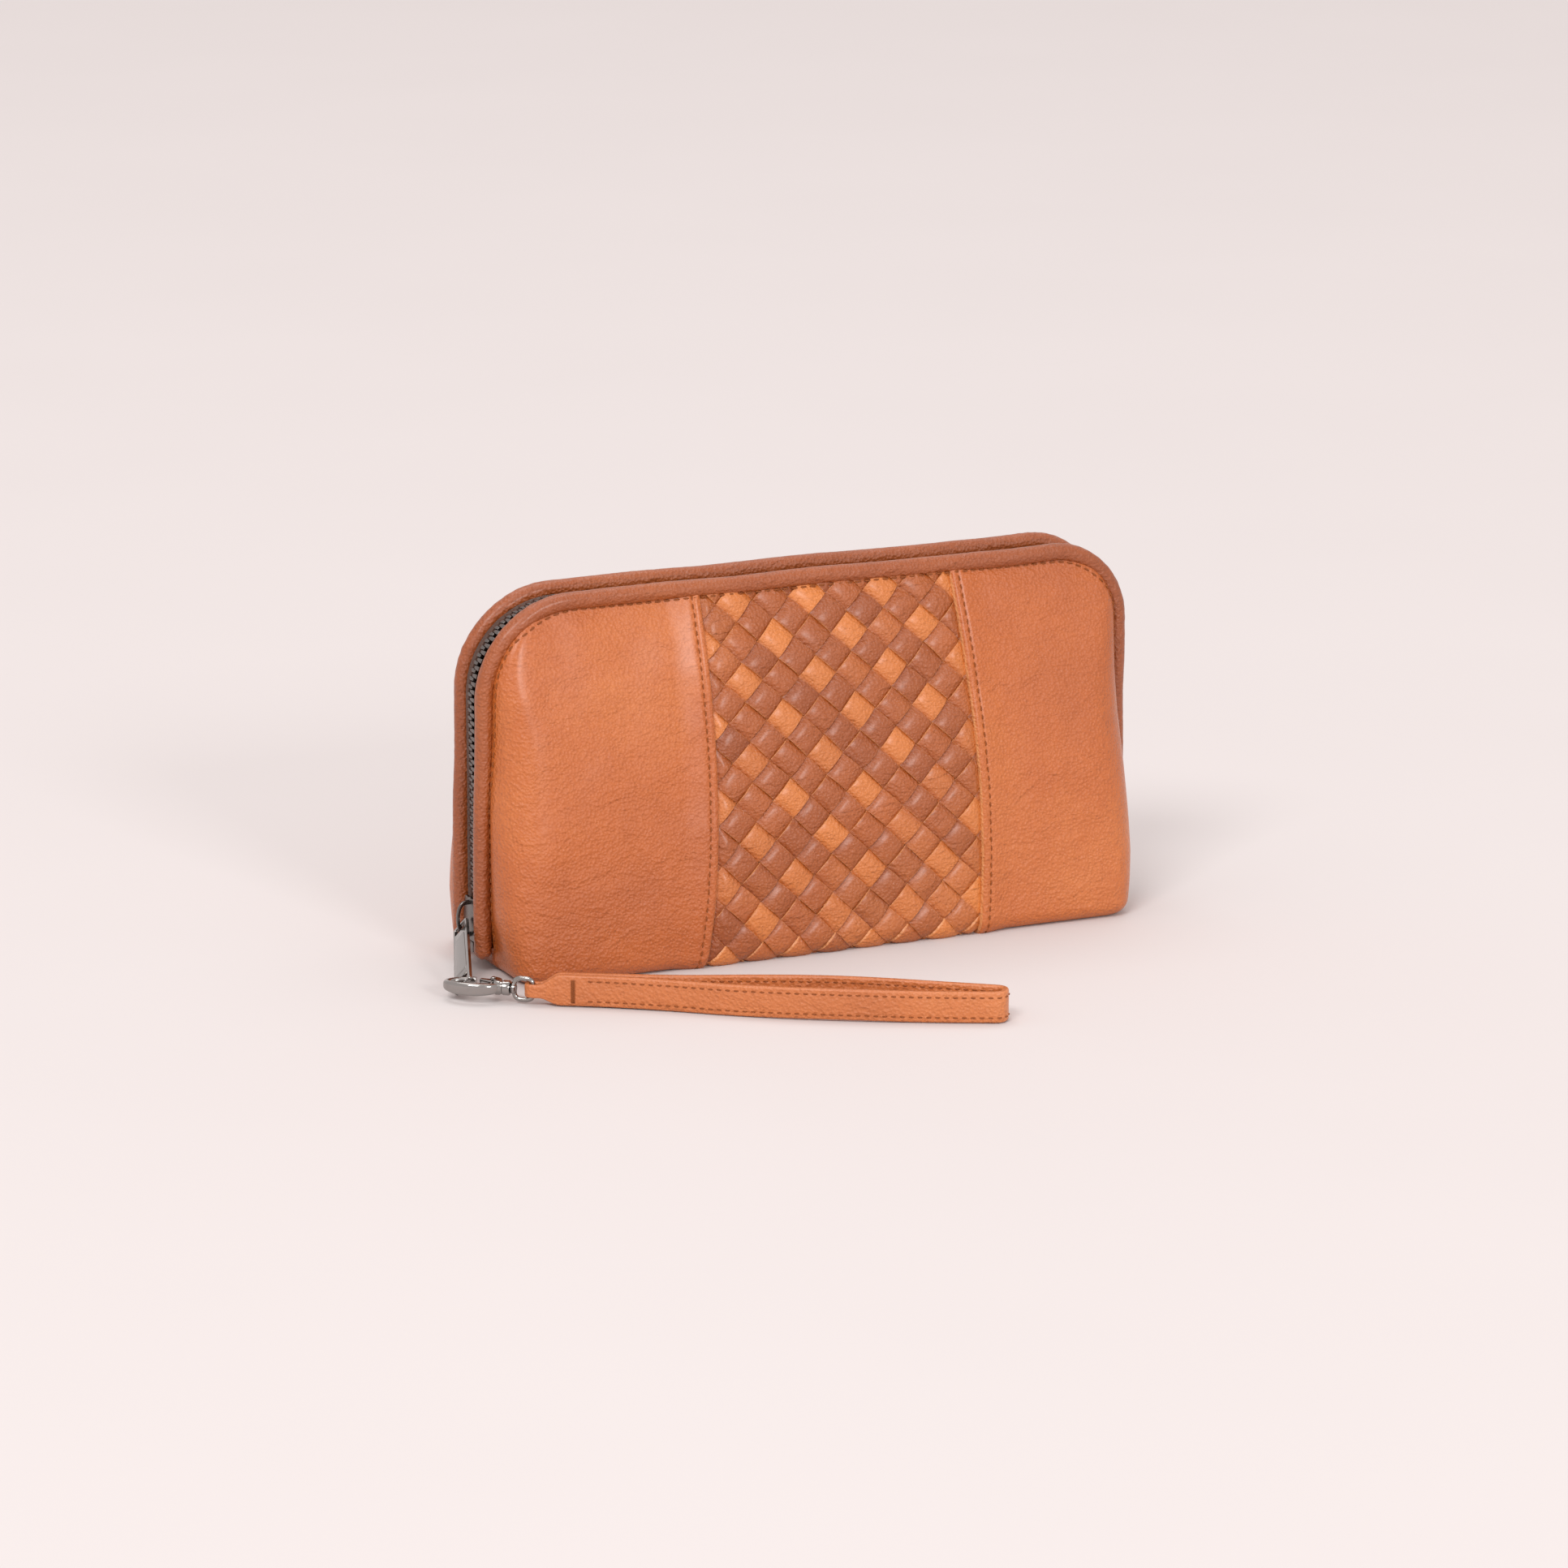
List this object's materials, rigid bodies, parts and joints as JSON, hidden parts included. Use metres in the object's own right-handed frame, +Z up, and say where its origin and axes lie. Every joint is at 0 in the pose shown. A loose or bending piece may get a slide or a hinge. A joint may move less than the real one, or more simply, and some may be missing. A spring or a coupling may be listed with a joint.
{
  "type": "zip around wallet",
  "caption": "Zip-around wallet that stands on a flat base, with a woven centre panel, rolled edges, an inner coin pouch and a clip-on wrist strap.",
  "frame": {"origin": "centre of the wallet's flat base, on the surface it stands on", "axes": "+X along the wallet's width to its right end, -Y out of its front face, +Z up"},
  "size_m": [0.2279, 0.1465, 0.111],
  "materials": {
    "tan_leather": "satin",
    "woven_leather": "satin",
    "binding_leather": "satin",
    "strap_leather": "satin",
    "lining_leather": "matte",
    "lining_cloth": "matte",
    "stiffener_board": "matte",
    "zip_tape": "matte",
    "gunmetal": "satin",
    "polished_nickel": "gloss"
  },
  "bodies": {
    "base": {"base_left_panel": "tan_leather", "base_woven_panel": "woven_leather", "base_right_panel": "tan_leather", "base_board": "stiffener_board", "base_lining": "lining_cloth", "end_tab_left": "binding_leather", "end_tab_right": "binding_leather", "zip_top_stops": "gunmetal", "zip_bottom_stop": "gunmetal"},
    "front_half": {"front_left_panel": "tan_leather", "front_right_panel": "tan_leather", "front_woven_panel": "woven_leather", "front_board": "stiffener_board", "front_lining": "lining_cloth", "front_binding": "binding_leather", "front_zip_tape": "zip_tape", "front_zip_teeth": "gunmetal", "front_gusset_left": "lining_cloth", "front_gusset_right": "lining_cloth", "front_card_pockets": "lining_leather"},
    "rear_half": {"rear_left_panel": "tan_leather", "rear_right_panel": "tan_leather", "rear_woven_panel": "woven_leather", "rear_board": "stiffener_board", "rear_lining": "lining_cloth", "rear_binding": "binding_leather", "rear_zip_tape": "zip_tape", "rear_zip_teeth": "gunmetal", "rear_gusset_left": "lining_cloth", "rear_gusset_right": "lining_cloth", "rear_slip_pocket": "lining_leather"},
    "coin_leaf": {"coin_pouch": "lining_leather", "coin_zip_tape": "zip_tape", "coin_zip_teeth": "gunmetal"},
    "coin_slider": {"coin_zip_slider": "gunmetal"},
    "coin_pull": {"coin_zip_pull": "polished_nickel"},
    "main_slider": {"zip_slider": "gunmetal"},
    "puller": {"zip_puller": "polished_nickel"},
    "snap_hook": {"hook_body": "polished_nickel", "gate_pin": "polished_nickel", "gate_spring": "polished_nickel"},
    "gate": {"hook_gate": "polished_nickel"},
    "swivel": {"swivel_ring": "polished_nickel"},
    "strap": {"wrist_strap": "strap_leather"}
  },
  "joints": [
    {"name": "front_fold", "type": "hinge", "parent": "base", "child": "front_half", "pos_m": [0, -0.0315, 0.00515], "axis": [1, 0, 0], "range_deg": [0, 65], "deforming": ["front_gusset_left", "front_gusset_right", "front_zip_teeth"]},
    {"name": "rear_fold", "type": "hinge", "parent": "base", "child": "rear_half", "pos_m": [0, 0.0315, 0.00515], "axis": [-1, 0, 0], "range_deg": [0, 80], "deforming": ["rear_gusset_left", "rear_gusset_right", "rear_zip_teeth"]},
    {"name": "leaf_fold", "type": "hinge", "parent": "base", "child": "coin_leaf", "pos_m": [0, 0, 0.0055], "axis": [1, 0, 0], "range_deg": [0, 22.8]},
    {"name": "coin_zip_slide", "type": "slide", "parent": "coin_leaf", "child": "coin_slider", "axis": [-1, 0, 0], "range_m": [0, 0.14], "deforming": ["coin_zip_teeth"]},
    {"name": "coin_pull_swing", "type": "hinge", "parent": "coin_slider", "child": "coin_pull", "pos_m": [0.08195, 0, 0.09115], "axis": [0, 1, 0], "range_deg": [0, 80]},
    {"name": "zip_slide", "type": "slide", "parent": "base", "child": "main_slider", "axis": [0, 0, -1], "range_m": [-0.062, 0]},
    {"name": "puller_swing", "type": "hinge", "parent": "main_slider", "child": "puller", "pos_m": [-0.1053, 0.00095, 0.0122], "axis": [0.4967, -0.3922, 0.7743], "range_deg": [-50, 0]},
    {"name": "hook_swing", "type": "hinge", "parent": "puller", "child": "snap_hook", "pos_m": [-0.11686, -0.03032, 0.00378], "axis": [0.4967, -0.3922, 0.7743], "range_deg": [0, 15]},
    {"name": "gate_pivot", "type": "hinge", "parent": "snap_hook", "child": "gate", "pos_m": [-0.10891, -0.03382, 0.0044], "axis": [0, 0, -1], "range_deg": [-22, 0], "stiffness_Nm_per_rad": 0.002, "springref_deg": 5.73},
    {"name": "swivel_spin", "type": "hinge", "parent": "snap_hook", "child": "swivel", "pos_m": [-0.115, -0.033, 0.0044], "axis": [0.788, -0.6157, 0], "continuous": true},
    {"name": "strap_swing", "type": "hinge", "parent": "swivel", "child": "strap", "pos_m": [-0.10082, -0.04408, 0.0044], "axis": [0, 0, 1], "range_deg": [-70, 0]}
  ],
  "couplings": [
    {"joint": "leaf_fold", "follows": "front_fold", "ratio": 0.35}
  ]
}
